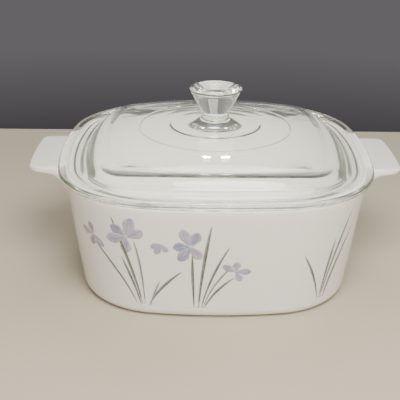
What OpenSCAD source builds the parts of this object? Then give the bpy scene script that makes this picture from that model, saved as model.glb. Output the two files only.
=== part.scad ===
// Square covered casserole: a pressed glass-ceramic dish with two lugs, and a pressed clear glass cover
// with a solid knob. The origin is the centre of the base, +Z is up and the lugs point along X.
// Every outline in plan is made of eight arcs, four long side arcs and four corner arcs. There are two
// families of outlines, one for the rim and a squarer one for the cover's dome. The outlines of a family are
// offsets of one another, so they share their arc centres and the directions in which the arcs meet.

/* [Outline] */
// Width of the cover across its bowed sides
cover_w = 222; // [220:1:230]

/* [Dish] */
// Height of the dish, from the table to its rim
dish_h = 84; // [70:1:100]
// Distance of the dish's rim inside the cover's edge
rim_inset = 4.4; // [4:0.1:5]
// Thickness of the dish's wall
wall_t = 4.8; // [4.4:0.1:5.2]
// Outward lean of the wall, in degrees
wall_lean = 7.3; // [5:0.1:9]
// Thickness of the floor over the foot's recess
floor_t = 4.6; // [4:0.1:6]
// Radius between the wall and the base, outside
base_r = 7; // [5:0.5:10]
// Radius between the wall and the floor, inside
inner_r = 11; // [8:0.5:14]
// Radius of the rim's two edges
rim_r = 1.8; // [1.2:0.1:2]
// Width of the flat foot that the dish stands on
foot_w = 9; // [6:0.5:14]
// Depth of the recess inside the foot
foot_recess = 0.8; // [0.4:0.1:1.2]

/* [Lugs] */
// Length over both lugs
lug_span = 264; // [256:1:272]
// Width of a lug at the dish's wall
lug_root_w = 73; // [64:1:80]
// Width of a lug at its outer edge
lug_tip_w = 64; // [56:1:70]
// Thickness of a lug at its outer edge
lug_t = 3.4; // [3:0.1:4.4]
// Distance of the lugs' top faces below the rim
lug_drop = 0.4; // [0.4:0.1:1]
// Radius of the hollow arc under each lug
lug_under_r = 36; // [34:1:38]
// Radius of a lug's corners in plan
lug_corner_r = 8; // [5:1:10]

/* [Cover] */
// Height of the cover's flat top above the rim
crown_rise = 20.2; // [19:0.1:22]
// Slope of the dome's wall, in degrees
dome_slope = 64.5; // [60:0.5:70]
// Thickness of the cover's glass
glass_t = 4.4; // [4:0.1:5]
// Thickness of the cover's flange
flange_t = 4.6; // [4.2:0.1:5.4]
// Depth of the lip that keeps the cover in the dish
lip_h = 2.8; // [2:0.1:3.4]

/* [Knob] */
// Largest radius of the knob
knob_r = 19.1; // [17:0.1:21]
// Radius of the knob's neck
neck_r = 9.3; // [8:0.1:10.5]
// Height of the knob's top above the cover's flat top
knob_h = 29.1; // [27:0.1:32]

/* [Hidden] */
$fn = 180;

half_w = cover_w / 2;
// A family of outlines: [side centre, corner centre, angle at which the arcs meet, distance between centres].
// A side arc's centre is the first value behind the middle, and a corner arc's centre has the second value as
// its x and y. Both lie on the line at the third value on which the arcs meet, so the arcs are tangent.
rim_family = [213.009, 36.5312, 8.3286, 252.2];
dome_family = [242.584, 56.4701, 10.6932, 304.339];

crown_x = half_w - 45;                  // half width of the cover's flat crown
// The hole in the dome's ring is as small as its corner arcs allow, half a millimetre in radius.
crown_hole = dome_family[3] - dome_family[0] + 0.5;
plate_x = crown_x - 2;                  // half width of the plate that closes the hole
plate_r = crown_x + 17;                 // reach of the plate's cut corners

rim_x = half_w - rim_inset;             // half width of the dish at its rim, outside
base_disc = half_w - 50;                // radius of the disc that closes the middle of the base
base_hole = base_disc - 15;             // half width of the hole that the disc covers
lean = tan(wall_lean);
lean_c = cos(wall_lean);
floor_z = foot_recess + floor_t;

crown_z = dish_h + crown_rise;
flange_z = dish_h + flange_t;
lip_z = dish_h - lip_h;

// Points on an arc in the (half width, height) plane, with both ends.
function arc(x, z, r, from, to, steps = 8) =
    [for (i = [0:steps]) let (a = from + (to - from) * i / steps) [x + r * cos(a), z + r * sin(a)]];

function wall_x(z) = rim_x - (dish_h - z) * lean;           // outside of the wall
function inner_x(z) = wall_x(z) - wall_t / lean_c;          // inside of the wall

// A profile whose half widths are turned into radii, in whole micrometres.
function radii(profile, shift) =
    [for (p = profile) [round((p[0] + shift) * 1000) / 1000, round(p[1] * 1000) / 1000]];

// Carries a profile of (half width, height) points along the side arc at +X.
module side(profile, family) {
    translate([-family[0], 0, 0])
        rotate_extrude(angle = 2 * family[2], start = -family[2], $fn = 720)
            polygon(radii(profile, family[0]));
}

// Carries a profile along the corner arc between +X and +Y.
module corner(profile, family) {
    translate([family[1], family[1], 0])
        rotate_extrude(angle = 90 - 2 * family[2], start = family[2], $fn = 360)
            polygon(radii(profile, family[0] - family[3]));
}

// Carries a profile round all eight arcs.
module ring(profile, family) {
    for (quarter = [0:3]) rotate(90 * quarter) {
        side(profile, family);
        corner(profile, family);
    }
}

// Half of the dish's section, from the hub outwards along the base and back along the floor.
function dish_profile() = let (
        base_c = wall_x(base_r) - base_r / lean_c,
        floor_c = inner_x(floor_z + inner_r) - inner_r / lean_c,
        rim_out = wall_x(dish_h - rim_r) - rim_r / lean_c,
        rim_in = inner_x(dish_h - rim_r) + rim_r / lean_c
    ) concat(
        [[base_hole, foot_recess], [base_c - foot_w - foot_recess, foot_recess], [base_c - foot_w, 0]],
        arc(base_c, base_r, base_r, -90, -wall_lean),
        arc(rim_out, dish_h - rim_r, rim_r, -wall_lean, 90),
        arc(rim_in, dish_h - rim_r, rim_r, 90, 180 - wall_lean),
        arc(floor_c, floor_z + inner_r, inner_r, -wall_lean, -90),
        [[base_hole, floor_z]]
    );

// Plan of the lug at +X: a trapezium with rounded outer corners, rooted inside the wall.
module lug_plan() {
    tip_x = lug_span / 2;
    root_x = rim_x - 14;
    root_y = lug_root_w / 2;
    tip_y = lug_tip_w / 2;
    taper = atan2(root_y - tip_y, tip_x - rim_x);
    // Centre of the rounded corner, one radius inside both edges.
    corner_x = tip_x - lug_corner_r;
    corner_y = tip_y + lug_corner_r * tan(taper) - lug_corner_r / cos(taper);
    edge_at = [corner_x + lug_corner_r * sin(taper), corner_y + lug_corner_r * cos(taper)];
    front = concat([[root_x, root_y + (rim_x - root_x) * tan(taper)], edge_at],
        [for (a = [80 - taper:-10:10]) [corner_x + lug_corner_r * cos(a), corner_y + lug_corner_r * sin(a)]],
        [[tip_x, corner_y]]);
    polygon(concat(front, [for (i = [len(front) - 1:-1:0]) [front[i][0], -front[i][1]]]));
}

// Side section of the lug: flat on top, a round outer edge, a thin tip, and below it one hollow arc that
// runs down into the wall.
function lug_profile() = let (
        top_z = dish_h - lug_drop,
        edge_r = lug_t / 2,
        edge_x = lug_span / 2 - edge_r,
        tip_l = 6,                      // length of the thin tip
        start_at = 110, end_at = 160,   // angles of the hollow arc's two ends
        under_x = edge_x - tip_l - lug_under_r * cos(start_at),
        under_z = top_z - lug_t - lug_under_r * sin(start_at),
        under = arc(under_x, under_z, lug_under_r, start_at, end_at, 10),
        root_z = under[len(under) - 1][1]
    ) concat(
        [[wall_x(root_z) - wall_t / 2, root_z], [wall_x(top_z) - wall_t / 2, top_z]],
        arc(edge_x, top_z - edge_r, edge_r, 90, -90),
        under
    );

module lug() {
    intersection() {
        side(lug_profile(), rim_family);
        translate([0, 0, dish_h / 2]) linear_extrude(dish_h / 2) lug_plan();
    }
}

module dish() color([0.9, 0.89, 0.86]) union() {
    ring(dish_profile(), rim_family);
    translate([0, 0, foot_recess]) cylinder(h = floor_t, r = base_disc);
    lug();
    rotate(180) lug();
}

// Half of the flange's section: its flat top, round edges, seat and lip. Its inner edge lies inside the dome.
function flange_profile() = let (
        top_r = 2, under_r = 1,                 // the flange's upper and lower edges
        lip_x = rim_x - wall_t / lean_c - 1.6,  // outside of the lip
        lip_r = 1.2,
        lip_w = 3.8
    ) concat(
        [[lip_x - lip_w - lip_r, flange_z]],
        arc(half_w - top_r, flange_z - top_r, top_r, 90, 0, 6),
        arc(half_w - under_r, dish_h + under_r, under_r, 0, -90, 4),
        [[lip_x, dish_h]],
        arc(lip_x - lip_r, lip_z + lip_r, lip_r, 0, -90, 4),
        [[lip_x - lip_w, lip_z]]
    );

// Half of the dome's section. The top side runs outwards: flat crown, soft fall, shoulder, steep wall and the
// hollow in front of the flange. The underside is the same curve, one glass thickness inside it.
function dome_profile() = let (
        fall_r = 62, fall_a = 13.5,             // the soft fall at the crown's edge
        fall_end = [crown_x + fall_r * sin(fall_a), crown_z - fall_r * (1 - cos(fall_a))],
        shoulder_r = 9,
        shoulder_c = [fall_end[0] - shoulder_r * sin(fall_a), fall_end[1] - shoulder_r * cos(fall_a)],
        out = [sin(dome_slope), cos(dome_slope)],
        wall_top = shoulder_c + shoulder_r * out,
        wall_in = shoulder_c + (shoulder_r - glass_t) * out,
        hollow_r = 6,                           // the hollow between the wall and the flange
        hollow_z = flange_z + hollow_r,
        hollow_x = wall_top[0] + (wall_top[1] - hollow_z + hollow_r * out[1]) / tan(dome_slope)
            + hollow_r * out[0],
        under_z = dish_h + 0.6,                 // underside of the dome's foot, above the seat
        root_x = half_w - 14                    // the foot's edge, hidden in the flange
    ) concat(
        [[crown_hole, crown_z]],
        arc(crown_x, crown_z - fall_r, fall_r, 90, 90 - fall_a, 6),
        arc(shoulder_c[0], shoulder_c[1], shoulder_r, 90 - fall_a, 90 - dome_slope, 6),
        arc(hollow_x, hollow_z, hollow_r, 270 - dome_slope, 270, 6),
        [[root_x, flange_z], [root_x, under_z]],
        [[wall_in[0] + (wall_in[1] - under_z) / tan(dome_slope), under_z]],
        arc(shoulder_c[0], shoulder_c[1], shoulder_r - glass_t, 90 - dome_slope, 90 - fall_a, 6),
        arc(crown_x, crown_z - fall_r, fall_r - glass_t, 90 - fall_a, 90, 6),
        [[crown_hole, crown_z - glass_t]]
    );

// The square plate with cut corners that closes the middle of the crown.
module crown_plate() {
    translate([0, 0, crown_z - glass_t]) intersection() {
        translate([-plate_x, -plate_x, 0]) cube([2 * plate_x, 2 * plate_x, glass_t]);
        cylinder(h = glass_t, r = plate_r);
    }
}

// Half of the knob's section, from inside the crown up to the middle of its top.
function knob_profile() = let (
        boss_r = 33, boss_h = 0.4,      // the raised disc round the knob's foot
        foot_r = 24,                    // where the foot's hollow curve meets the boss
        neck_z = crown_z + 9.9,
        cone_z = crown_z + 10.7,        // bottom of the cone
        band_z = crown_z + 25.7,        // bottom of the knob's widest band
        top_z = crown_z + knob_h,
        bevel = 1.6
    ) concat(
        [[0, crown_z - 1], [boss_r, crown_z - 1], [boss_r, crown_z], [boss_r - boss_h, crown_z + boss_h]],
        [for (i = [0:12]) let (t = 90 * i / 12)
            [foot_r - (foot_r - neck_r) * sin(t), neck_z - (neck_z - crown_z - boss_h) * cos(t)]],
        [[neck_r + 0.5, cone_z], [knob_r - 0.4, band_z], [knob_r, band_z + 0.8]],
        [[knob_r, top_z - bevel - 0.4], [knob_r - 0.4, top_z - bevel]],
        [[knob_r - bevel, top_z - 0.8], [knob_r - bevel - 4, top_z - 0.2]],
        [[knob_r / 3, top_z], [0, top_z]]
    );

// The fine raised ring that the mould leaves round the crown.
module mould_ring() {
    ring_x = 55;
    rotate_extrude($fn = 360)
        polygon([[ring_x - 0.5, crown_z - 0.5], [ring_x + 0.5, crown_z - 0.5], [ring_x + 0.4, crown_z],
            [ring_x, crown_z + 0.25], [ring_x - 0.4, crown_z]]);
}

module cover() color([0.8, 0.86, 0.84, 0.4]) union() {
    ring(flange_profile(), rim_family);
    ring(dome_profile(), dome_family);
    crown_plate();
    rotate_extrude($fn = 180) polygon(knob_profile());
    mould_ring();
}

dish();
cover();
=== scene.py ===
"""Looks of a square covered casserole: the white dish, its clear glass cover and the spray on its walls."""

import math

import bpy
import numpy as np
from bpy.props import FloatProperty, FloatVectorProperty, PointerProperty
from mathutils import Matrix, Vector


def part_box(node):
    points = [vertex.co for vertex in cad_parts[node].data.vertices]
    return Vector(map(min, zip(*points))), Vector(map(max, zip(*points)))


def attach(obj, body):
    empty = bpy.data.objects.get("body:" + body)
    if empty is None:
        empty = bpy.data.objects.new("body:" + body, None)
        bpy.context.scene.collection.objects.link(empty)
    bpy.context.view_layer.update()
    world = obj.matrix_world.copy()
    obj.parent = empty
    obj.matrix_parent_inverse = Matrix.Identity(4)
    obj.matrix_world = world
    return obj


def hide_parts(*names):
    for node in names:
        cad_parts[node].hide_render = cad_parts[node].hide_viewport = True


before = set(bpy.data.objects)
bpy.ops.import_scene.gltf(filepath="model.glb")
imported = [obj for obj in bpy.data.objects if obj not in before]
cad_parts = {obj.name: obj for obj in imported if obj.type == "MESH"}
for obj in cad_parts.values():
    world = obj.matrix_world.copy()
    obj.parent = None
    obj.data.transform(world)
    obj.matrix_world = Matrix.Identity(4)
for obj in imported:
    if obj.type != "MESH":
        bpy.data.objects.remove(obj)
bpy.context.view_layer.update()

bl_info = {
    "name": "Covered Casserole",
    "version": (1, 0, 0),
    "blender": (4, 5, 0),
    "location": "3D View > Sidebar > Casserole",
    "description": "Makes a square covered casserole with a glass cover and a floral spray",
    "category": "Add Mesh",
}

MM = 0.001
DISH_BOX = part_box("dish")
COVER_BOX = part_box("cover")

# Every outline in plan is made of eight arcs, and belongs to one of two families whose members are offsets
# of one another. A family holds how far a side arc's centre lies behind the middle, a corner arc's centre
# (the same in x and y), a corner arc's radius less the outline's half width, and the direction in which the
# two arcs meet. The dome's family is squarer than the rim's.
RIM_FAMILY = (213.009 * MM, 36.5312 * MM, -39.191 * MM, math.radians(8.3286))
DOME_FAMILY = (242.584 * MM, 56.4701 * MM, -61.755 * MM, math.radians(10.6932))
SIDE_CENTRE, _, CORNER_SHIFT, JOIN = RIM_FAMILY
# At this half width a corner arc of the dome's family would have no radius left.
DOME_LEAST_HALF = -DOME_FAMILY[2]
# How far the dome's shoulder follows a round dome towards its corners, from 0 for a level edge to 1.
CORNER_FALL = 0.5
# How often light may turn inside the glass. With fewer turns, thick glass looks black.
GLASS_TURNS = 80


# ---------------------------------------------------------------------------------------------- settings


def length(name, description, millimetres):
    """A length property whose default is given in millimetres."""
    return FloatProperty(name=name, description=description, default=millimetres * MM, min=0.0,
                         unit="LENGTH", subtype="DISTANCE", precision=5)


def colour(name, description, rgb):
    """A linear colour property."""
    return FloatVectorProperty(name=name, description=description, default=rgb, size=3, min=0.0, max=1.0,
                               subtype="COLOR")


class DishSettings(bpy.types.PropertyGroup):
    """Sizes of the dish that its box in the frame doesn't give."""

    rim_half: length("Rim half width", "Half width of the dish outside its rim", 106.6)
    wall: length("Wall", "Thickness of the wall", 4.8)
    lean: FloatProperty(name="Lean", description="Outward lean of the wall", default=math.radians(7.3),
                        subtype="ANGLE")
    recess: length("Foot recess", "Depth of the recess inside the foot", 0.8)
    foot: length("Foot", "Width of the flat foot", 9.0)
    floor: length("Floor", "Height of the floor inside", 5.4)
    base_radius: length("Base radius", "Radius between the foot and the wall", 7.0)
    inner_radius: length("Inner radius", "Radius between the floor and the wall inside", 11.0)
    rim_radius: length("Rim radius", "Radius of the rim's two edges", 1.8)
    lug_half: length("Lug half width", "Half width of a lug at the wall", 36.5)
    lug_tip_half: length("Lug tip half width", "Half width of a lug at its outer edge", 31.5)
    lug_corner: length("Lug corner", "Radius of a lug's outer corners in plan", 8.0)
    lug_fillet: length("Lug fillet", "Radius between a lug's sides and the wall in plan", 3.5)
    lug_drop: length("Lug drop", "Distance of a lug's top below the rim", 0.4)
    lug_thickness: length("Lug thickness", "Thickness of a lug at its outer edge", 3.4)
    lug_hollow: length("Lug hollow", "Radius of the hollow under a lug", 21.0)


class CoverSettings(bpy.types.PropertyGroup):
    """Sizes of the glass cover that its box in the frame doesn't give."""

    crown: length("Crown", "Height of the crown's middle above the table", 105.0)
    drop: length("Crown drop", "Fall of the crown from its middle to the shoulder", 6.6)
    glass: length("Glass", "Thickness of the glass", 4.4)
    flange: length("Flange", "Thickness of the flange", 4.6)
    wall_half: length("Dome wall", "Half width where the dome's wall would meet the flange's top", 91.6)
    slope: FloatProperty(name="Wall slope", description="Slope of the dome's wall",
                         default=math.radians(64.5), subtype="ANGLE")
    shoulder: length("Shoulder", "Radius of the dome's shoulder outside", 19.0)
    inner_shoulder: length("Inner shoulder", "Radius of the dome's shoulder inside", 6.0)
    hollow: length("Hollow", "Radius between the dome's wall and the flange", 6.0)
    lip_half: length("Lip half width", "Half width of the lip outside", 100.16)
    lip: length("Lip", "Width of the lip's underside", 4.2)
    ring: length("Mould ring", "Radius of the fine ring on the crown", 54.5)
    boss: length("Boss", "Radius of the raised disc round the knob's foot", 32.5)
    foot: length("Knob foot", "Radius where the knob's foot meets the disc", 23.0)
    neck: length("Knob neck", "Radius of the knob's neck", 9.3)
    knob: length("Knob", "Largest radius of the knob", 19.1)
    knob_rise: length("Knob rise", "Height of the knob, from just inside the crown to its top", 29.1)


class FinishSettings(bpy.types.PropertyGroup):
    """Colours of the dish, the glass and the spray's inks."""

    glaze: colour("Glaze", "White of the dish", (0.84, 0.82, 0.765))
    glass: colour("Glass", "Tint of the glass surface", (0.995, 0.998, 0.992))
    depth: colour("Glass depth", "Tint that thick glass takes on", (0.70, 0.76, 0.665))
    absorption: FloatProperty(name="Absorption", description="How fast thick glass takes on its tint",
                              default=14.0, min=0.0)
    green: colour("Leaf green", "Ink of the blades", (0.045, 0.06, 0.035))
    sage: colour("Sage", "Paler ink of the blades", (0.17, 0.20, 0.145))
    violet: colour("Violet", "Ink of the petals", (0.16, 0.13, 0.31))
    blue: colour("Blue", "Darker ink of the petals", (0.06, 0.08, 0.24))
    rose: colour("Rose", "Warm ink of the petals", (0.40, 0.28, 0.40))


class StageSettings(bpy.types.PropertyGroup):
    """The camera, the floor and the studio."""

    azimuth: FloatProperty(name="Azimuth", description="Camera's direction round the object",
                           default=math.radians(-0.93), subtype="ANGLE")
    elevation: FloatProperty(name="Elevation", description="Camera's height angle",
                             default=math.radians(23.37), subtype="ANGLE")
    roll: FloatProperty(name="Roll", description="Camera's turn about its own axis",
                        default=math.radians(0.78), subtype="ANGLE")
    distance: length("Distance", "Camera's distance from its target", 602.05)
    target: FloatVectorProperty(name="Target", description="Point that the camera looks at",
                                default=(-0.01019, 0.0, 0.04466), subtype="TRANSLATION", unit="LENGTH")
    lens: FloatProperty(name="Lens", description="Focal length on a 36 mm sensor, in millimetres",
                        default=71.88, min=1.0)
    floor_back: length("Floor's far edge", "Distance from the middle of the dish to the floor's far edge",
                       300.0)
    floor_reach: length("Floor's reach", "Distance from the middle to the floor's other edges", 1500.0)
    floor: colour("Floor", "Colour of the floor", (0.49, 0.432, 0.335))
    backdrop: colour("Backdrop", "Colour of the studio behind the table", (0.135, 0.127, 0.135))
    studio: colour("Studio", "Colour of the studio elsewhere, at table height", (0.19, 0.183, 0.17))
    overhead: colour("Overhead", "Colour of the studio straight above the table", (0.60, 0.58, 0.54))


# ------------------------------------------------------------------------------------- outline and profiles


def smooth(share):
    """A share that leaves 0 and reaches 1 gently: 3 * share squared - 2 * share cubed."""
    return 3 * share ** 2 - 2 * share ** 3


def outline(half, direction, family=RIM_FAMILY):
    """Points of the eight-arc outline of half width half, one for each direction of its outward normal.

    On a side, point = side centre + (half + side shift) * normal, where the shift is the centre's distance
    behind the middle. On a corner, point = corner centre + (half + corner shift) * normal. Both half and
    direction may be arrays that broadcast together.
    """
    side_centre, corner_centre, corner_shift, join = family
    quarter = np.floor((direction + join) / (math.pi / 2))
    local = direction - quarter * (math.pi / 2)
    on_side = local <= join
    radius = half + np.where(on_side, side_centre, corner_shift)
    x = np.where(on_side, -side_centre, corner_centre) + radius * np.cos(local)
    y = np.where(on_side, 0.0, corner_centre) + radius * np.sin(local)
    turn = quarter * (math.pi / 2)
    return x * np.cos(turn) - y * np.sin(turn), x * np.sin(turn) + y * np.cos(turn)


def rounded_path(corners, straight=5, turn_step=math.radians(7)):
    """A path through corners (x, z, radius) with an arc at each inner corner.

    The arc at a corner starts radius * tan(turn / 2) before it, and its points are
    start + radius * (sin(s) * d + (1 - cos(s)) * m), with s from 0 to the turn, d the direction in and m
    the normal of d on the side of the turn. Straight stretches get points that crowd towards their ends.
    """
    points = np.array([c[:2] for c in corners], float)
    radii = [c[2] if len(c) > 2 else 0.0 for c in corners]
    crowd = (0.5 - 0.5 * np.cos(np.pi * np.linspace(0, 1, straight + 2)))[1:-1, None]
    path, at = [points[:1]], points[0]
    for i in range(1, len(points)):
        step = points[i] - points[i - 1]
        d = step / np.hypot(*step)
        if i == len(points) - 1 or radii[i] == 0:
            arc = points[i:i + 1]
        else:
            out = points[i + 1] - points[i]
            out = out / np.hypot(*out)
            cross = d[0] * out[1] - d[1] * out[0]
            turn = math.atan2(abs(cross), d @ out)
            m = np.array([-d[1], d[0]]) * math.copysign(1.0, cross)
            start = points[i] - d * radii[i] * math.tan(turn / 2)
            s = np.linspace(0, turn, max(3, math.ceil(turn / turn_step) + 1))[:, None]
            arc = start + radii[i] * (np.sin(s) * d + (1 - np.cos(s)) * m)
        path += [at + crowd * (arc[0] - at), arc]
        at = arc[-1]
    return np.concatenate(path)


def travelled(path):
    """Distance along a path at each of its points, as a share of its length."""
    steps = np.hypot(*np.diff(path, axis=0).T)
    return np.concatenate([[0.0], np.cumsum(steps)]) / steps.sum()


def along(path, shares):
    """Points of a path at the given shares of its length."""
    at = travelled(path)
    return np.stack([np.interp(shares, at, path[:, 0]), np.interp(shares, at, path[:, 1])], axis=1)


def new_mesh(name, verts, faces):
    """A smooth mesh object from vertices and a list of arrays of equal-sided faces."""
    mesh = bpy.data.meshes.new(name)
    loops = np.concatenate([f.ravel() for f in faces]).astype(np.int32)
    sizes = np.concatenate([np.full(len(f), f.shape[1]) for f in faces])
    mesh.vertices.add(len(verts))
    mesh.vertices.foreach_set("co", np.ascontiguousarray(verts, np.float32).ravel())
    mesh.loops.add(len(loops))
    mesh.loops.foreach_set("vertex_index", loops)
    mesh.polygons.add(len(sizes))
    starts = np.concatenate([[0], np.cumsum(sizes)[:-1]]).astype(np.int32)
    mesh.polygons.foreach_set("loop_start", starts)
    mesh.polygons.foreach_set("use_smooth", np.ones(len(sizes), bool))
    mesh.update(calc_edges=True)
    if mesh.validate():
        raise RuntimeError(f"{name} has faulty faces")
    piece = bpy.data.objects.new(name, mesh)
    bpy.context.scene.collection.objects.link(piece)
    return piece


def closed_skin(name, rings, bottom, top):
    """A closed skin through rings of equally many points, from the underside's middle to the top's middle.

    rings is (rings, points, 3), each counter-clockwise from above. Neighbouring rings are joined by four
    sided faces, and the points bottom and top close the first and the last ring.
    """
    count, around = rings.shape[:2]
    j, i = np.meshgrid(np.arange(count - 1), np.arange(around), indexing="ij")
    nxt = (i + 1) % around
    quads = np.stack([j * around + i, j * around + nxt, (j + 1) * around + nxt, (j + 1) * around + i], -1)
    k = np.arange(around)
    last = (count - 1) * around
    low = np.full(around, count * around)
    under = np.stack([(k + 1) % around, k, low], -1)
    over = np.stack([last + k, last + (k + 1) % around, low + 1], -1)
    verts = np.concatenate([rings.reshape(-1, 3), [bottom, top]])
    return new_mesh(name, verts, [quads.reshape(-1, 4), under, over])


def shrunk(ring, shares):
    """Copies of a ring drawn in towards the middle, point = share * point, at its first point's height."""
    flat = ring[None, :, :2] * np.asarray(shares)[:, None, None]
    return np.concatenate([flat, np.full(flat.shape[:2] + (1,), ring[0, 2])], axis=2)


# ---------------------------------------------------------------------------------------------------- dish


def wall_half(sizes, z):
    """Half width of the wall's outside at height z: rim half width - (rim height - z) * tan(lean)."""
    return sizes.rim_half - (DISH_BOX[1].z - z) * math.tan(sizes.lean)


def dish_directions():
    """Normal directions round the dish's outline, closest together where the lugs' sides rise."""
    flank_from, flank_to = np.array([25.0, 40.5]) * MM / (SIDE_CENTRE + DISH_BOX[1].y)
    beyond = 0.5 * (flank_to + JOIN)
    middle = np.linspace(-flank_from, flank_from, 18)[1:-1]
    flank = np.linspace(flank_from, flank_to, 44)
    lug_side = np.concatenate([[-JOIN, -beyond], -flank[::-1], middle, flank, [beyond]])
    plain_side = np.linspace(-JOIN, JOIN, 34)[:-1]
    corner = np.linspace(JOIN, math.pi / 2 - JOIN, 40)[:-1]
    half = np.concatenate([lug_side, corner, plain_side + math.pi / 2, corner + math.pi / 2])
    return np.concatenate([half, half + math.pi])


def lug_share(sizes, direction):
    """How far the lug stands out in each direction, from 0 at the wall to 1 at its outer edge.

    The lug's plan is a trapezium with rounded outer corners and hollow roots, drawn as a path of reach
    against distance from the lug's middle along the rim.
    """
    reach = DISH_BOX[1].x - sizes.rim_half
    plan = rounded_path([(0, reach), (sizes.lug_tip_half, reach, sizes.lug_corner),
                         (sizes.lug_half, 0, sizes.lug_fillet), (sizes.lug_half * 1.3, 0)])
    folded = np.abs((direction + math.pi / 2) % math.pi - math.pi / 2)
    offset = np.where(folded <= JOIN, folded, 1.0) * (SIDE_CENTRE + sizes.rim_half)
    return np.interp(offset, plan[:, 0], plan[:, 1]) / reach


def lug_section(sizes, start, rim_top):
    """The lug's section from the wall below it, under it, round its edge and back to the rim's top."""
    tip, top = DISH_BOX[1].x, DISH_BOX[1].z - sizes.lug_drop
    under = top - sizes.lug_thickness
    round_edge = 0.48 * sizes.lug_thickness
    root, root_radius, flat_under, groove = start[1] + 3.4 * MM, 5 * MM, 16 * MM, 0.3 * MM
    return rounded_path([
        start,
        (wall_half(sizes, root), root, root_radius),
        (tip - flat_under, under + 0.2 * MM, sizes.lug_hollow),
        (tip, under, round_edge),
        (tip, top, round_edge),
        (sizes.rim_half + groove, top, groove),
        rim_top,
    ], straight=6)


def make_dish(sizes):
    """The dish as one closed skin.

    Its section runs from the foot's recess over the foot, up the wall, over the rim and down to the floor.
    Where the lugs are, the upper wall is drawn out: point = wall + lug share * (lug section - wall).
    """
    high = DISH_BOX[1].z
    thick = sizes.wall / math.cos(sizes.lean)
    foot_out = wall_half(sizes, 0) - sizes.base_radius * math.tan(math.pi / 4 - sizes.lean / 2)
    foot_in = foot_out - sizes.foot
    inside = wall_half(sizes, high) - thick
    hub, lug_start, foot_round = 60 * MM, 57.5 * MM, 0.5 * MM

    lower = rounded_path([
        (hub, sizes.recess), (foot_in - sizes.recess, sizes.recess, foot_round), (foot_in, 0, foot_round),
        (wall_half(sizes, 0), 0, sizes.base_radius), (wall_half(sizes, lug_start), lug_start)], straight=8)
    upper = rounded_path([
        (wall_half(sizes, lug_start), lug_start), (wall_half(sizes, high), high, sizes.rim_radius),
        (inside + 0.5 * thick, high)])
    lug = lug_section(sizes, tuple(upper[0]), tuple(upper[-1]))
    # The plain wall gets as many points as the lug, and the lug's edge is drawn out of its top corner.
    shares = travelled(lug)
    tip = np.flatnonzero(lug[:, 0] > DISH_BOX[1].x - 0.5 * sizes.lug_thickness)
    matched = np.interp(shares, [0, shares[tip[0]], shares[tip[-1]], 1], [0, 0.76, 0.84, 1])
    plain = along(upper, matched)
    inner = rounded_path([
        (inside + 0.5 * thick, high), (inside, high, sizes.rim_radius),
        (inside - (high - sizes.floor) * math.tan(sizes.lean), sizes.floor, sizes.inner_radius),
        (hub, sizes.floor)], straight=8)

    direction = dish_directions()
    share = lug_share(sizes, direction)
    drawn = plain[:, None] + share[None, :, None] * (lug - plain)[:, None]
    whole = np.ones(len(direction))[None, :, None]
    section = np.concatenate([lower[:-1, None] * whole, drawn, inner[1:, None] * whole])
    x, y = outline(section[..., 0], direction[None])
    rings = np.stack([x, y, section[..., 1]], axis=-1)
    hub_shares = np.linspace(0.08, 0.94, 9)
    rings = np.concatenate([shrunk(rings[0], hub_shares), rings, shrunk(rings[-1], hub_shares[::-1])])
    return closed_skin("casserole_dish", rings, (0, 0, sizes.recess), (0, 0, sizes.floor))


# --------------------------------------------------------------------------------------------------- cover


def crown_height(sizes, reach):
    """Height of the crown's top, crown - drop * (reach / shoulder corner) cubed."""
    return sizes.crown - sizes.drop * (np.asarray(reach) / shoulder_corner(sizes)) ** 3


def shoulder_corner(sizes):
    """Half width at which the wall's straight line reaches the height of the shoulder's corner."""
    top = DISH_BOX[1].z + sizes.flange
    return sizes.wall_half - (sizes.crown - sizes.drop - top) / math.tan(sizes.slope)


def cover_section(sizes):
    """The cover's section from the crown's underside out to the flange and back to the crown's top.

    The underside of the dome is the top side moved in by the glass's thickness.
    """
    seat, edge, rim = COVER_BOX[0].z, COVER_BOX[1].x, DISH_BOX[1].z
    top = rim + sizes.flange
    corner = shoulder_corner(sizes)
    crown_reach = np.linspace(DOME_LEAST_HALF + 1 * MM, corner - 0.7 * sizes.shoulder, 7)
    crown_top = np.stack([crown_reach, crown_height(sizes, crown_reach)], axis=1)
    shoulder_z = sizes.crown - sizes.drop
    inward = sizes.glass * math.tan((math.pi / 2 - sizes.slope / 2) / 2)
    inner_wall = sizes.wall_half - sizes.glass / math.sin(sizes.slope)
    foot_z, foot_radius = rim + 0.9 * MM, 4 * MM
    lip_in_radius, lip_out_radius, lip_root_radius = 1.6 * MM, 1.4 * MM, 0.3 * MM
    edge_low_radius, edge_high_radius = 2.0 * MM, 2.2 * MM
    return rounded_path([
        *[(x, z - sizes.glass) for x, z in crown_top],
        (corner - inward, shoulder_z - sizes.glass, sizes.inner_shoulder),
        (inner_wall - (foot_z - top) / math.tan(sizes.slope), foot_z, foot_radius),
        (sizes.lip_half - sizes.lip, seat, lip_in_radius),
        (sizes.lip_half, seat, lip_out_radius),
        (sizes.lip_half, rim, lip_root_radius),
        (edge, rim, edge_low_radius),
        (edge, top, edge_high_radius),
        (sizes.wall_half, top, sizes.hollow),
        (corner, shoulder_z, sizes.shoulder),
        *crown_top[::-1],
    ], straight=4, turn_step=math.radians(6))


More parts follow.
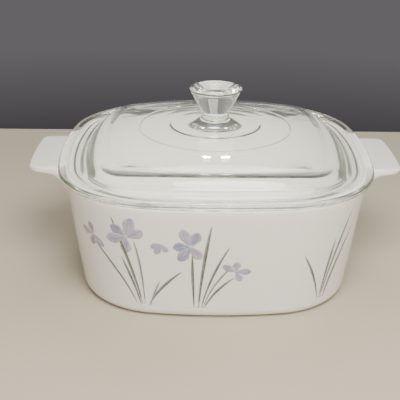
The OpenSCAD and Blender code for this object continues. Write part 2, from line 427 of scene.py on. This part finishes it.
def knob_section(sizes):
    """Radius and height from the crown's mould ring in to the middle of the knob's top.

    The ring is a ridge 0.14 mm high and the disc a step 0.5 mm high. The foot is a quarter ellipse,
    radius = foot - (foot - neck) * sin(s) and height = neck height - rise * cos(s), with s from 0 to 90
    degrees. Above the neck the knob flares in a cone to its widest part, and its top is nearly flat.
    """
    ring, boss, neck, knob = sizes.ring, sizes.boss, sizes.neck, sizes.knob
    ring_z, boss_z = crown_height(sizes, ring), crown_height(sizes, boss)
    between, outside = 0.5 * (ring + boss), ring + 1.2 * MM
    disc_z = boss_z + 0.5 * MM
    ridge, step, blend = 0.5 * MM, 0.7 * MM, 0.9 * MM
    crown_line = rounded_path([
        (outside, crown_height(sizes, outside)),
        (ring + ridge, ring_z, 0.3 * MM),
        (ring, ring_z + 0.14 * MM, 0.4 * MM),
        (ring - ridge, ring_z + 0.02 * MM, 0.3 * MM),
        (between, crown_height(sizes, between), 60 * MM),
        (boss + step, boss_z, blend),
        (boss - step, disc_z, blend),
        (sizes.foot + 1.0 * MM, disc_z + 0.1 * MM)])
    high = COVER_BOX[1].z
    base = high - sizes.knob_rise
    neck_z = base + 9.6 * MM
    s = np.linspace(0, math.pi / 2, 22)[1:, None]
    foot = np.hstack([sizes.foot - (sizes.foot - neck) * np.sin(s),
                      neck_z - (neck_z - disc_z - 0.1 * MM) * np.cos(s)])
    head = rounded_path([
        (neck, neck_z),
        (neck, base + 10.5 * MM, 0.5 * MM),
        (neck + 0.7 * MM, base + 10.9 * MM, 0.5 * MM),
        (knob - 1.0 * MM, base + 25.3 * MM, 3.0 * MM),
        (knob, base + 26.8 * MM, 1.2 * MM),
        (knob - 0.5 * MM, high - 1.5 * MM, 1.2 * MM),
        (knob - 3.6 * MM, high - 0.45 * MM, 3.0 * MM),
        (1.5 * MM, high)], straight=6)
    return np.concatenate([crown_line, foot, head[1:]])


def dome_share(sizes, section):
    """How far each point of the section belongs to the dome's family, from 0 on the flange to 1.

    It changes over the first 10 mm of flange outside the dome on top, and over 8 mm at its foot below.
    """
    foot_in = sizes.wall_half + 2 * MM
    above = np.interp(section[:, 0], [foot_in, foot_in + 10 * MM], [1, 0])
    below = np.interp(section[:, 0], [foot_in - 7 * MM, foot_in + 1 * MM], [1, 0])
    on_top = section[:, 1] > DISH_BOX[1].z + 0.5 * sizes.flange
    return smooth(np.where(on_top, above, below))[:, None]


def make_cover(sizes):
    """The cover as one closed skin of solid glass.

    Flange and lip are outlines of the rim's family, and the dome is of its own squarer family. Where the
    dome grows out of the flange, point = rim outline + share * (dome outline - rim outline). The middle of
    the crown is round, so its height follows the distance from the middle. Out from there it follows the
    outline instead, and height = section height - fall * (crown height at the outline's half width - crown
    height at the point's distance), where fall goes from 1 on the round crown to CORNER_FALL on the
    shoulder. From the mould ring in, the rings are circles, and the rings between turn outline into circle.
    """
    side = np.linspace(-JOIN, JOIN, 23)[:-1]
    corner = np.linspace(JOIN, math.pi / 2 - JOIN, 39)[:-1]
    quarter = np.concatenate([side, corner])
    direction = np.concatenate([quarter + k * math.pi / 2 for k in range(4)])
    section = cover_section(sizes)
    reach, height = section[:, :1], section[:, 1:]
    share = dome_share(sizes, section)
    rim_xy, dome_xy = outline(reach, direction[None]), outline(reach, direction[None], DOME_FAMILY)
    x, y = ((1 - share) * rim + share * dome for rim, dome in zip(rim_xy, dome_xy))

    flange_top = DISH_BOX[1].z + sizes.flange
    rise = np.clip((height - flange_top + 4 * MM) / (9 * MM), 0, 1)
    sink = crown_height(sizes, reach) - crown_height(sizes, np.hypot(x, y))
    fall = 1 - (1 - CORNER_FALL) * smooth(np.clip((reach - reach[0]) / (15 * MM), 0, 1))
    body = np.stack([x, y, height - fall * rise * share * sink], axis=-1)

    angle = np.arctan2(body[-1, :, 1], body[-1, :, 0])
    circle = np.stack([np.cos(angle), np.sin(angle), np.zeros_like(angle)], axis=-1)
    knob_line = knob_section(sizes)
    knob = circle[None] * knob_line[:, :1, None] + np.array([0, 0, 1.0]) * knob_line[:, 1:, None]
    t = np.linspace(0, 1, 12)[1:-1, None, None]
    between = body[-1][None] + t * (knob[0] - body[-1])[None]
    between[..., 2] = crown_height(sizes, np.hypot(between[..., 0], between[..., 1]))
    under = shrunk(body[0], np.linspace(0.05, 0.95, 16))
    under[..., 2] = crown_height(sizes, np.hypot(under[..., 0], under[..., 1])) - sizes.glass
    rings = np.concatenate([under, body, between, knob])
    return closed_skin("glass_cover", rings, (0, 0, sizes.crown - sizes.glass), (0, 0, COVER_BOX[1].z))


# --------------------------------------------------------------------------------------------------- spray


def wall_point(sizes, along_wall, height, lift):
    """Points on the dish's outside, from the distance along the rim and the height.

    along_wall is measured from the middle of the front, towards the right. It turns into a direction by
    the lengths of the outline's arcs at the wall's mean half width.
    """
    mean = wall_half(sizes, 0.5 * DISH_BOX[1].z)
    side_len = 2 * JOIN * (mean + SIDE_CENTRE)
    corner_len = (math.pi / 2 - 2 * JOIN) * (mean + CORNER_SHIFT)
    around = side_len + corner_len
    quarter = np.floor((along_wall + side_len / 2) / around)
    rest = along_wall - quarter * around
    on_corner = rest > side_len / 2
    local = np.where(on_corner, JOIN + (rest - side_len / 2) / (mean + CORNER_SHIFT),
                     rest / (mean + SIDE_CENTRE))
    direction = local + (quarter - 1) * (math.pi / 2)
    x, y = outline(wall_half(sizes, height) + lift, direction % (2 * math.pi))
    return np.stack([x, y, height], axis=-1)


class Spray:
    """Gathers the printed strokes of the spray, each a thin closed leaf on the wall.

    A stroke's back lies just under the glaze and its front stands a little proud of it. Each front stands
    a step higher than the one before, starting again after STEPS, so that neighbours don't share a surface.
    """

    DEPTH, PROUD, STEP, STEPS = 0.05 * MM, 0.05 * MM, 0.0025 * MM, 24
    LEAST_HALF = 0.03 * MM

    def __init__(self, sizes):
        self.sizes, self.verts, self.faces, self.inks, self.washes = sizes, [], [], [], []
        self.count = 0

    def stroke(self, spine, widths, ink, tip_ink, wash=1.0, steps=26, across=5):
        """A stroke round a spine of (along, height) points, in millimetres, whose ink turns into tip_ink.

        The spine is a Bezier curve through its control points' weights. The half width follows
        w = widths interpolated along it. Points across it are spine + side * w * normal, side from -1 to 1,
        and the wash, which is how much ink there is, fades towards both sides and both ends.
        """
        spine = np.array(spine, float) * MM
        t = np.linspace(0, 1, steps)
        degree = len(spine) - 1
        weights = np.stack([math.comb(degree, k) * t ** k * (1 - t) ** (degree - k)
                            for k in range(degree + 1)])
        line = weights.T @ spine
        tangent = np.gradient(line, axis=0)
        tangent /= np.hypot(tangent[:, 0], tangent[:, 1])[:, None]
        normal = np.stack([-tangent[:, 1], tangent[:, 0]], axis=1)
        half = np.maximum(np.interp(t, np.linspace(0, 1, len(widths)), widths) * MM, self.LEAST_HALF)
        side = np.linspace(-1, 1, across)
        flat = line[:, None] + side[None, :, None] * half[:, None, None] * normal[:, None]
        lift = self.PROUD + self.STEP * (len(self.verts) % self.STEPS)
        front = wall_point(self.sizes, flat[..., 0], flat[..., 1], lift)
        back = wall_point(self.sizes, flat[..., 0], flat[..., 1], -self.DEPTH)
        self.verts.append(np.concatenate([front.reshape(-1, 3), back.reshape(-1, 3)]))

        index = np.arange(steps * across).reshape(steps, across)
        quad = np.stack([index[:-1, :-1], index[:-1, 1:], index[1:, 1:], index[1:, :-1]], -1).reshape(-1, 4)
        border = np.concatenate([index[0, :-1], index[:-1, -1], index[-1, :0:-1], index[:0:-1, 0]])
        nxt, to_back = np.roll(border, -1), steps * across
        rim = np.stack([border, border + to_back, nxt + to_back, nxt], -1)
        self.faces.append(np.concatenate([quad, quad[:, ::-1] + to_back, rim]) + self.count)
        self.count += 2 * to_back

        shade = np.array(ink) * (1 - t)[:, None, None] + np.array(tip_ink) * t[:, None, None]
        shade = np.broadcast_to(shade, (steps, across, 3)).reshape(-1, 3)
        ends = np.clip(np.minimum(t, 1 - t) * 12, 0.35, 1)[:, None]
        fade = (wash * ends * (1 - 0.3 * side[None] ** 2)).ravel()
        self.inks.append(np.concatenate([shade, shade]))
        self.washes.append(np.concatenate([fade, fade]))

    def piece(self):
        """The strokes as one mesh, with the attributes ink and wash."""
        made = new_mesh("printed_spray", np.concatenate(self.verts), [np.concatenate(self.faces)])
        ink = made.data.attributes.new("ink", "FLOAT_COLOR", "POINT")
        rgb = np.concatenate(self.inks)
        ink.data.foreach_set("color", np.hstack([rgb, np.ones((len(rgb), 1))]).astype(np.float32).ravel())
        wash = made.data.attributes.new("wash", "FLOAT", "POINT")
        wash.data.foreach_set("value", np.concatenate(self.washes).astype(np.float32))
        return made


def shade_of(ink, share):
    """An ink with its colour multiplied by share."""
    return tuple(share * np.array(ink))


def blade(spray, foot, tip, bend, width, inks):
    """A grass blade with a darker vein, from foot to tip, whose middle is moved sideways by bend."""
    (x0, z0), (x1, z1) = foot, tip
    spine = [(x0, z0), (x0 + 0.15 * (x1 - x0) + 0.3 * bend, z0 + 0.38 * (z1 - z0)),
             (x0 + 0.55 * (x1 - x0) + bend, z0 + 0.78 * (z1 - z0)), (x1, z1)]
    shape = np.array([0.35, 0.6, 0.9, 1.0, 0.7, 0.12]) * width
    spray.stroke(spine, 0.8 * shape, *inks)
    vein = [(x + 0.2 * width, z) for x, z in spine]
    spray.stroke(vein, 0.42 * shape, shade_of(inks[0], 0.3), shade_of(inks[0], 0.5))


def petal(spray, centre, angle, size, width, inks, curl, wash=0.85):
    """A petal that leaves the flower's centre at an angle in degrees, and whose tip is moved by curl."""
    a = math.radians(angle)
    along_it, beside = np.array([math.cos(a), math.sin(a)]), np.array([-math.sin(a), math.cos(a)])
    base = np.array(centre)
    spine = [base, base + 0.4 * size * along_it, base + 0.8 * size * along_it + 0.5 * curl * beside,
             base + size * along_it + curl * beside]
    shape = np.array([0.12, 0.6, 1.0, 0.8, 0.1]) * width
    spray.stroke(spine, shape, *inks, wash=wash, steps=14, across=7)


def flower(spray, centre, size, turn, inks, vein, petals=5, spread=300.0):
    """A small open flower: petals fanned over spread degrees from turn, each with two darker veins."""
    for k in range(petals):
        angle = turn + spread * k / petals
        long = size * (1.0 if k % 2 else 0.82)
        curl = 0.12 * size * (-1) ** k
        petal(spray, centre, angle, long, 0.27 * size, inks[k % len(inks)], curl)
        petal(spray, centre, angle + 4, 0.9 * long, 0.035 * size, (vein, vein), curl, wash=0.8)
        petal(spray, centre, angle - 12, 0.7 * long, 0.03 * size, (vein, vein), -curl, wash=0.6)


def make_spray(sizes, finish):
    """Three loose tufts of grass with small violet flowers round the front of the dish.

    Places are in millimetres: along the wall from the middle of the front, and above the table.
    """
    spray = Spray(sizes)
    sage, violet = tuple(finish.sage), tuple(finish.violet)
    blue, rose = tuple(finish.blue), tuple(finish.rose)
    leaf = (tuple(0.8 * np.array(finish.green) + 0.2 * np.array(sage)), sage)
    pale_wash = 0.8
    pale = (sage, sage, pale_wash)
    # left tuft
    blade(spray, (-54, 10), (-86, 54), -3, 1.2, leaf)
    blade(spray, (-50, 10), (-68, 76), -4, 1.6, leaf)
    blade(spray, (-48, 10), (-54, 60), 1, 1.1, pale)
    blade(spray, (-45, 9), (-22, 38), 2, 1.4, leaf)
    blade(spray, (-51, 9), (-63, 46), -2, 1.3, leaf)
    blade(spray, (-44, 9), (-37, 30), 1, 0.9, pale)
    flower(spray, (-58, 61), 15, 20, [(violet, rose), (rose, violet), (blue, violet)], blue)
    flower(spray, (-84, 56), 11, 100, [(violet, violet), (rose, violet)], blue, petals=4)
    flower(spray, (-36, 58), 9, 200, [(rose, violet), (violet, violet)], blue, petals=3, spread=150)
    # middle tuft
    blade(spray, (-12, 9), (-4, 74), 1, 1.6, leaf)
    blade(spray, (-15, 9), (-16, 52), -1, 1.4, leaf)
    blade(spray, (-10, 9), (8, 58), 2, 1.2, leaf)
    blade(spray, (-8, 9), (12, 34), 1, 1.2, leaf)
    blade(spray, (-9, 9), (14, 46), 0, 0.9, pale)
    flower(spray, (-17, 57), 14, 60, [(blue, violet), (violet, rose), (blue, blue)], blue)
    flower(spray, (12, 38), 10, -70, [(violet, rose), (violet, violet)], blue, petals=4)
    # right tuft
    blade(spray, (72, 10), (56, 48), -2, 1.2, leaf)
    blade(spray, (75, 10), (93, 74), 2, 1.5, leaf)
    blade(spray, (77, 10), (92, 52), 2, 1.1, pale)
    blade(spray, (74, 10), (80, 56), 1, 1.4, leaf)
    blade(spray, (78, 10), (98, 62), 3, 1.2, leaf)
    return spray.piece()


# ----------------------------------------------------------------------------------------------- materials


def ripple_group():
    """Faint waves of a pressed and fire-polished surface, as a height and a roughness."""
    group = bpy.data.node_groups.new("pressed_ripple", "ShaderNodeTree")
    for name, default in (("Wave", 60.0), ("Grain", 900.0), ("Low", 0.05), ("High", 0.12)):
        socket = group.interface.new_socket(name, in_out="INPUT", socket_type="NodeSocketFloat")
        socket.default_value = default
    for name in ("Height", "Roughness"):
        group.interface.new_socket(name, in_out="OUTPUT", socket_type="NodeSocketFloat")
    inward, outward = group.nodes.new("NodeGroupInput"), group.nodes.new("NodeGroupOutput")
    place = group.nodes.new("ShaderNodeTexCoord")
    wave, grain = (group.nodes.new("ShaderNodeTexNoise") for _ in range(2))
    grain.inputs["Detail"].default_value = 4.0
    both = group.nodes.new("ShaderNodeMath")
    both.operation = "MULTIPLY_ADD"
    both.inputs[1].default_value = 0.06
    spread = group.nodes.new("ShaderNodeMapRange")
    set_inputs(spread, {"From Min": 0.35, "From Max": 0.7})
    link = group.links.new
    for noise, name in ((wave, "Wave"), (grain, "Grain")):
        link(place.outputs["Object"], noise.inputs["Vector"])
        link(inward.outputs[name], noise.inputs["Scale"])
    link(grain.outputs["Fac"], both.inputs[0])
    link(wave.outputs["Fac"], both.inputs[2])
    link(both.outputs[0], outward.inputs["Height"])
    link(grain.outputs["Fac"], spread.inputs["Value"])
    link(inward.outputs["Low"], spread.inputs["To Min"])
    link(inward.outputs["High"], spread.inputs["To Max"])
    link(spread.outputs["Result"], outward.inputs["Roughness"])
    return group


def set_inputs(node, values):
    """Sets a node's inputs by name."""
    for name, value in values.items():
        node.inputs[name].default_value = value


def new_material(name):
    """A material with an empty node tree: (material, nodes, link, Principled shader, output)."""
    material = bpy.data.materials.new(name)
    material.use_nodes = True
    nodes, link = material.node_tree.nodes, material.node_tree.links.new
    nodes.clear()
    shader, output = nodes.new("ShaderNodeBsdfPrincipled"), nodes.new("ShaderNodeOutputMaterial")
    return material, nodes, link, shader, output


def add_ripple(nodes, link, shader, wave, grain, roughness, strength, distance):
    """Gives a shader the pressed ripple as its bump, and as its roughness from low to high."""
    ripple, bump = nodes.new("ShaderNodeGroup"), nodes.new("ShaderNodeBump")
    ripple.node_tree = bpy.data.node_groups.get("pressed_ripple") or ripple_group()
    low, high = roughness
    set_inputs(ripple, {"Wave": wave, "Grain": grain, "Low": low, "High": high})
    set_inputs(bump, {"Strength": strength, "Distance": distance})
    link(ripple.outputs["Height"], bump.inputs["Height"])
    link(ripple.outputs["Roughness"], shader.inputs["Roughness"])
    link(bump.outputs["Normal"], shader.inputs["Normal"])


def add_fired_gloss(nodes, link, shader, roughness):
    """Gives a shader the fired glaze's gloss, which the print has too."""
    set_inputs(shader, {"IOR": 1.5, "Coat Weight": 0.35, "Coat Roughness": 0.06})
    add_ripple(nodes, link, shader, 38, 1400, roughness, 0.12, 0.4 * MM)


def add_cloudy_colour(nodes, link, shader, rgb, scale, spread):
    """Gives a shader a colour that drifts from rgb * (1 - spread) to rgb * (1 + spread)."""
    place, cloud, tone = (nodes.new("ShaderNode" + n) for n in ("TexCoord", "TexNoise", "Mix"))
    cloud.inputs["Scale"].default_value = scale
    tone.data_type = "RGBA"
    tone.inputs["A"].default_value = (*(np.array(rgb) * (1 - spread)), 1)
    tone.inputs["B"].default_value = (*(np.array(rgb) * (1 + spread)), 1)
    link(place.outputs["Object"], cloud.inputs["Vector"])
    link(cloud.outputs["Fac"], tone.inputs["Factor"])
    link(tone.outputs["Result"], shader.inputs["Base Color"])


def glaze_material(finish):
    """White glass-ceramic: a dense off-white body with a clear gloss and very faint unevenness."""
    material, nodes, link, shader, output = new_material("white_glass_ceramic")
    add_cloudy_colour(nodes, link, shader, finish.glaze, 14.0, 0.015)
    add_fired_gloss(nodes, link, shader, (0.2, 0.3))
    link(shader.outputs[0], output.inputs["Surface"])
    return material


def ink_material(finish):
    """The fired print: inks that sink into the glaze by their wash, a little patchy."""
    material, nodes, link, shader, output = new_material("fired_print")
    ink, wash = nodes.new("ShaderNodeAttribute"), nodes.new("ShaderNodeAttribute")
    ink.attribute_name, wash.attribute_name = "ink", "wash"
    place, cloud, patchy, share, blend = (
        nodes.new("ShaderNode" + n) for n in ("TexCoord", "TexNoise", "MapRange", "Math", "Mix"))
    set_inputs(cloud, {"Scale": 260.0, "Detail": 5.0})
    set_inputs(patchy, {"From Min": 0.3, "From Max": 0.65, "To Min": 0.85})
    share.operation = "MULTIPLY"
    blend.data_type = "RGBA"
    blend.inputs["A"].default_value = (*finish.glaze, 1)
    link(place.outputs["Object"], cloud.inputs["Vector"])
    link(cloud.outputs["Fac"], patchy.inputs["Value"])
    link(patchy.outputs["Result"], share.inputs[0])
    link(wash.outputs["Fac"], share.inputs[1])
    link(share.outputs[0], blend.inputs["Factor"])
    link(ink.outputs["Color"], blend.inputs["B"])
    link(blend.outputs["Result"], shader.inputs["Base Color"])
    add_fired_gloss(nodes, link, shader, (0.22, 0.34))
    link(shader.outputs[0], output.inputs["Surface"])
    return material


def glass_material(finish):
    """Clear pressed glass that turns grey-green where it is thick. Lamps shine through it."""
    material, nodes, link, shader, output = new_material("clear_glass")
    set_inputs(shader, {"Base Color": (*finish.glass, 1), "Transmission Weight": 1.0, "IOR": 1.49})
    add_ripple(nodes, link, shader, 45, 1200, (0.0, 0.02), 0.05, 0.3 * MM)
    clear, path, mix, depth = (nodes.new("ShaderNode" + n) for n in (
        "BsdfTransparent", "LightPath", "MixShader", "VolumeAbsorption"))
    clear.inputs["Color"].default_value = (0.94, 0.955, 0.945, 1)
    set_inputs(depth, {"Color": (*finish.depth, 1), "Density": finish.absorption})
    link(path.outputs["Is Shadow Ray"], mix.inputs[0])
    link(shader.outputs[0], mix.inputs[1])
    link(clear.outputs[0], mix.inputs[2])
    link(mix.outputs[0], output.inputs["Surface"])
    link(depth.outputs[0], output.inputs["Volume"])
    return material


def floor_material(stage):
    """A plain pale cloth."""
    material, nodes, link, shader, output = new_material("pale_floor")
    add_cloudy_colour(nodes, link, shader, stage.floor, 6.0, 0.06)
    set_inputs(shader, {"Roughness": 0.9, "Specular IOR Level": 0.2})
    link(shader.outputs[0], output.inputs["Surface"])
    return material


# --------------------------------------------------------------------------------------------------- stage


def make_world(stage):
    """A studio that brightens overhead, with a dark backdrop low down behind the table.

    The backdrop's share is how far a direction points backwards times how little it points up. The
    backdrop itself darkens towards the table, to about a third of its colour.
    """
    world = bpy.data.worlds.new("studio")
    bpy.context.scene.world = world
    world.use_nodes = True
    nodes, link = world.node_tree.nodes, world.node_tree.links.new
    nodes.clear()
    place, split, overhead, behind, low, share, foot, shade, mix, light, output = (
        nodes.new("ShaderNode" + n) for n in (
            "TexCoord", "SeparateXYZ", "ValToRGB", "MapRange", "MapRange", "Math", "MapRange", "Mix", "Mix",
            "Background", "OutputWorld"))
    overhead.color_ramp.elements[0].color = (*stage.studio, 1)
    overhead.color_ramp.elements[1].color = (*stage.overhead, 1)
    behind.interpolation_type = low.interpolation_type = "SMOOTHSTEP"
    set_inputs(behind, {"From Min": 0.1, "From Max": 0.45})
    set_inputs(low, {"From Min": 0.5, "From Max": 0.12})
    set_inputs(foot, {"From Min": -0.33, "From Max": -0.22})
    share.operation = "MULTIPLY"
    mix.data_type = shade.data_type = "RGBA"
    shade.inputs["A"].default_value = (*(0.36 * np.array(stage.backdrop)), 1)
    shade.inputs["B"].default_value = (*stage.backdrop, 1)
    link(place.outputs["Generated"], split.inputs[0])
    link(split.outputs["Z"], overhead.inputs["Fac"])
    link(split.outputs["Y"], behind.inputs["Value"])
    link(split.outputs["Z"], low.inputs["Value"])
    link(split.outputs["Z"], foot.inputs["Value"])
    link(behind.outputs["Result"], share.inputs[0])
    link(low.outputs["Result"], share.inputs[1])
    link(foot.outputs["Result"], shade.inputs["Factor"])
    link(share.outputs[0], mix.inputs["Factor"])
    link(overhead.outputs["Color"], mix.inputs["A"])
    link(shade.outputs["Result"], mix.inputs["B"])
    link(mix.outputs["Result"], light.inputs["Color"])
    link(light.outputs[0], output.inputs["Surface"])


def area_lamp(name, place, aim, size, watts, tint=(1, 1, 1)):
    """A round lamp at place that faces aim."""
    data = bpy.data.lights.new(name, "AREA")
    data.shape, data.size, data.energy, data.color = "DISK", size, watts, tint
    lamp = bpy.data.objects.new(name, data)
    lamp.location = place
    lamp.rotation_euler = (Vector(aim) - Vector(place)).to_track_quat("-Z", "Y").to_euler()
    bpy.context.scene.collection.objects.link(lamp)


def make_lamps():
    """A warm key lamp and a low fill in front, a lamp behind, and two small ones that glint on the crown."""
    middle, warm, mild = (0, 0, 0.06), (1, 0.975, 0.925), (1, 0.985, 0.95)
    area_lamp("key", (0.06, -0.43, 0.58), (0, -0.20, 0), 0.4, 6.6, warm)
    area_lamp("fill", (0.3, -1.4, 0.22), middle, 1.1, 10.5, mild)
    area_lamp("back", (0.1, 0.9, 1.4), middle, 0.8, 6)
    for across in (0.006, 0.076):
        area_lamp("spark", (across, 1.0, 0.815), middle, 0.035, 0.45)


def deep_glass():
    """Let light turn often enough inside the thick glass to find its way out of it."""
    paths = bpy.context.scene.cycles
    paths.glossy_bounces = paths.transmission_bounces = GLASS_TURNS
    paths.max_bounces = 2 * GLASS_TURNS


def make_camera(stage):
    """A camera at its distance from the target, on the side that the azimuth and elevation give."""
    a, e, roll = stage.azimuth, stage.elevation, stage.roll
    back = Vector((math.sin(a) * math.cos(e), -math.cos(a) * math.cos(e), math.sin(e)))
    right = (-back).cross(Vector((0, 0, 1))).normalized()
    up = right.cross(-back)
    turned_right = math.cos(roll) * right + math.sin(roll) * up
    turned_up = math.cos(roll) * up - math.sin(roll) * right
    data = bpy.data.cameras.new("camera")
    data.lens, data.sensor_width, data.clip_start, data.clip_end = stage.lens, 36.0, 0.01, 50.0
    camera = bpy.data.objects.new("camera", data)
    axes = Matrix((turned_right, turned_up, back)).transposed().to_4x4()
    camera.matrix_world = Matrix.Translation(Vector(stage.target) + back * stage.distance) @ axes
    bpy.context.scene.collection.objects.link(camera)
    bpy.context.scene.camera = camera


def make_floor(stage):
    """A flat cloth-covered table top a hair under the dish's foot."""
    reach, back, z = stage.floor_reach, stage.floor_back, -0.02 * MM
    corners = np.array([(-reach, -reach, z), (reach, -reach, z), (reach, back, z), (-reach, back, z)])
    floor = new_mesh("table_top", corners, [np.array([[0, 1, 2, 3]])])
    floor.data.materials.append(floor_material(stage))


# ----------------------------------------------------------------------------------------------- operators


class CASSEROLE_OT_dish(bpy.types.Operator):
    """Make the white dish with its two lugs"""

    bl_idname = "casserole.dish"
    bl_label = "Dish"

    def execute(self, context):
        scene = context.scene
        dish = make_dish(scene.casserole_dish)
        dish.data.materials.append(glaze_material(scene.casserole_finish))
        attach(dish, "dish_body")
        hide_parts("dish")
        return {"FINISHED"}


class CASSEROLE_OT_cover(bpy.types.Operator):
    """Make the clear glass cover with its knob"""

    bl_idname = "casserole.cover"
    bl_label = "Glass cover"

    def execute(self, context):
        scene = context.scene
        cover = make_cover(scene.casserole_cover)
        cover.data.materials.append(glass_material(scene.casserole_finish))
        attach(cover, "cover_body")
        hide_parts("cover")
        return {"FINISHED"}


class CASSEROLE_OT_spray(bpy.types.Operator):
    """Print the spray of grass and small flowers on the dish's walls"""

    bl_idname = "casserole.spray"
    bl_label = "Printed spray"

    def execute(self, context):
        scene = context.scene
        spray = make_spray(scene.casserole_dish, scene.casserole_finish)
        spray.data.materials.append(ink_material(scene.casserole_finish))
        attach(spray, "dish_body")
        return {"FINISHED"}


class CASSEROLE_OT_stage(bpy.types.Operator):
    """Set up the table top, the lamps, the studio and the camera"""

    bl_idname = "casserole.stage"
    bl_label = "Stage"

    def execute(self, context):
        stage = context.scene.casserole_stage
        make_camera(stage)
        make_floor(stage)
        make_world(stage)
        make_lamps()
        deep_glass()
        return {"FINISHED"}


class CASSEROLE_PT_parts(bpy.types.Panel):
    """Lists the casserole's pieces and settings in the sidebar"""

    bl_idname = "CASSEROLE_PT_parts"
    bl_label = "Covered Casserole"
    bl_space_type = "VIEW_3D"
    bl_region_type = "UI"
    bl_category = "Casserole"

    def draw(self, context):
        layout = self.layout
        for step in STEPS:
            layout.operator(step.bl_idname)
        for group, name in SETTINGS:
            box = layout.box()
            box.label(text=group.__doc__.split(".")[0])
            for key in group.__annotations__:
                box.prop(getattr(context.scene, name), key)


SETTINGS = ((DishSettings, "casserole_dish"), (CoverSettings, "casserole_cover"),
            (FinishSettings, "casserole_finish"), (StageSettings, "casserole_stage"))
STEPS = (CASSEROLE_OT_dish, CASSEROLE_OT_cover, CASSEROLE_OT_spray, CASSEROLE_OT_stage)


def register():
    for group, name in SETTINGS:
        bpy.utils.register_class(group)
        setattr(bpy.types.Scene, name, PointerProperty(type=group))
    for cls in (*STEPS, CASSEROLE_PT_parts):
        bpy.utils.register_class(cls)


def unregister():
    for cls in (CASSEROLE_PT_parts, *reversed(STEPS)):
        bpy.utils.unregister_class(cls)
    for group, name in reversed(SETTINGS):
        delattr(bpy.types.Scene, name)
        bpy.utils.unregister_class(group)


def main():
    """Make every piece and the stage."""
    register()
    bpy.ops.casserole.dish()
    bpy.ops.casserole.cover()
    bpy.ops.casserole.spray()
    bpy.ops.casserole.stage()


if __name__ == "__main__":
    main()
